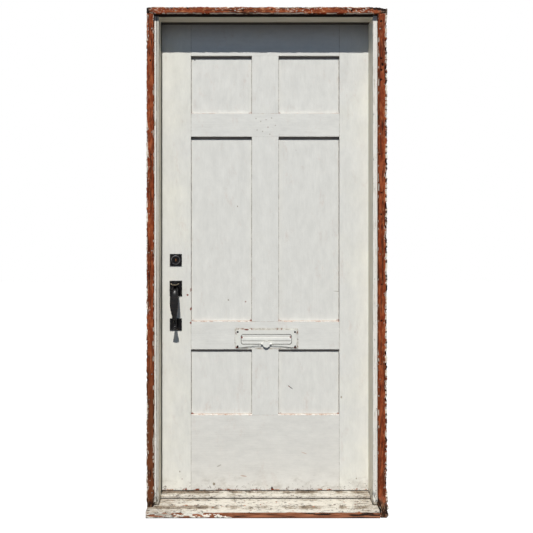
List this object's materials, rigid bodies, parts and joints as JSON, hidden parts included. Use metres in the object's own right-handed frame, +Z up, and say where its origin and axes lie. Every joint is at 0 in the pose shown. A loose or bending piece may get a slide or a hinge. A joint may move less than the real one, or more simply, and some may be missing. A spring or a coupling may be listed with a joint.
{
  "type": "panelled front door with frame",
  "caption": "Weathered off-white panelled front door in its rabbeted frame, with sill, casings, butt hinges, deadbolt, thumb-latch handle set and a mail slot with a hinged flap.",
  "frame": {"origin": "middle of the sill's underside, on the plane of the wall's outer face", "axes": "+Z up, +X to the right seen from outside, +Y towards the inside; the outside faces -Y"},
  "size_m": [0.984, 0.2304, 2.098],
  "materials": {
    "leaf_paint": "old off-white oil paint, brushed, chipped to red primer at the panel edges",
    "jamb_paint": "flaking white paint over grey weathered wood",
    "sill_paint": "cream paint, dirty and flaking to red-brown wood",
    "bare_casing": "bare red-brown weathered wood with chips of white paint",
    "black_iron": "satin black, worn at the rims",
    "worn_steel": "dull plated steel",
    "brass": "tarnished brass",
    "painted_mail_plate": "overpainted off-white, chipped to red at its edges"
  },
  "bodies": {
    "frame": {"sill": "sill_paint", "threshold": "sill_paint", "hinge_jamb": "jamb_paint", "latch_jamb": "jamb_paint", "head_jamb": "jamb_paint", "casing_left": "bare_casing", "casing_right": "bare_casing", "casing_head": "bare_casing", "casing_nails": "worn_steel", "latch_strike": "worn_steel", "deadbolt_strike": "worn_steel", "hinge_jamb_plate_top": "worn_steel", "hinge_jamb_plate_middle": "worn_steel", "hinge_jamb_plate_bottom": "worn_steel", "hinge_pins": "worn_steel", "frame_screws": "worn_steel"},
    "leaf": {"hinge_stile": "leaf_paint", "lock_stile": "leaf_paint", "top_rail": "leaf_paint", "frieze_rail": "leaf_paint", "lock_rail": "leaf_paint", "bottom_rail": "leaf_paint", "top_muntin": "leaf_paint", "middle_muntin": "leaf_paint", "lower_muntin": "leaf_paint", "panel_top_left": "leaf_paint", "panel_top_right": "leaf_paint", "panel_middle_left": "leaf_paint", "panel_middle_right": "leaf_paint", "panel_lower_left": "leaf_paint", "panel_lower_right": "leaf_paint", "hinge_leaf_plate_top": "worn_steel", "hinge_leaf_plate_middle": "worn_steel", "hinge_leaf_plate_bottom": "worn_steel", "leaf_edge_screws": "worn_steel", "deadbolt_plate": "black_iron", "deadbolt_collar": "black_iron", "deadbolt_cylinder": "black_iron", "deadbolt_case": "worn_steel", "deadbolt_rose": "black_iron", "latch_case": "worn_steel", "handle_upper_plate": "black_iron", "handle_grip": "black_iron", "handle_lower_plate": "black_iron", "grip_bolt": "worn_steel", "knob_rose": "black_iron", "trim_screws": "worn_steel", "mail_plate": "painted_mail_plate", "mail_inner_plate": "painted_mail_plate", "mail_screws": "painted_mail_plate", "mail_flap_pin": "worn_steel"},
    "thumbpiece": {"thumbpiece": "black_iron"},
    "knob": {"inside_knob": "black_iron"},
    "latch_bolt": {"latch_bolt": "brass"},
    "thumb_turn": {"thumb_turn": "black_iron"},
    "deadbolt_bolt": {"deadbolt_bolt": "brass"},
    "key_plug": {"key_plug": "brass"},
    "mail_flap": {"mail_flap": "painted_mail_plate"}
  },
  "joints": [
    {"name": "door_swing", "type": "hinge", "parent": "frame", "child": "leaf", "pos_m": [0.4585, 0.127, 1.063], "axis": [0, 0, -1], "range_deg": [0, 110]},
    {"name": "knob_turn", "type": "hinge", "parent": "leaf", "child": "knob", "pos_m": [-0.387, 0.127, 0.932], "axis": [0, 1, 0], "range_deg": [0, 50]},
    {"name": "latch_slide", "type": "slide", "parent": "leaf", "child": "latch_bolt", "axis": [-1, 0, 0], "range_m": [0, 0.01201]},
    {"name": "thumb_press", "type": "hinge", "parent": "leaf", "child": "thumbpiece", "pos_m": [-0.387, 0.079, 0.947], "axis": [-1, 0, 0], "range_deg": [0, 18.1]},
    {"name": "thumb_turn", "type": "hinge", "parent": "leaf", "child": "thumb_turn", "pos_m": [-0.387, 0.127, 1.047], "axis": [0, 1, 0], "range_deg": [0, 90.1]},
    {"name": "deadbolt_slide", "type": "slide", "parent": "leaf", "child": "deadbolt_bolt", "axis": [-1, 0, 0], "range_m": [0, 0.018]},
    {"name": "key_turn", "type": "hinge", "parent": "leaf", "child": "key_plug", "pos_m": [-0.387, 0.07, 1.047], "axis": [0, 1, 0], "range_deg": [0, 90.1]},
    {"name": "flap_swing", "type": "hinge", "parent": "leaf", "child": "mail_flap", "pos_m": [0.005, 0.073, 0.7226], "axis": [-1, 0, 0], "range_deg": [0, 85]}
  ],
  "couplings": [
    {"joint": "latch_slide", "follows": "knob_turn", "m_per_rad": 0.013751},
    {"joint": "thumb_press", "follows": "knob_turn", "ratio": 0.36},
    {"joint": "thumb_turn", "follows": "deadbolt_slide", "rad_per_m": 87.266},
    {"joint": "key_turn", "follows": "deadbolt_slide", "rad_per_m": 87.266}
  ]
}
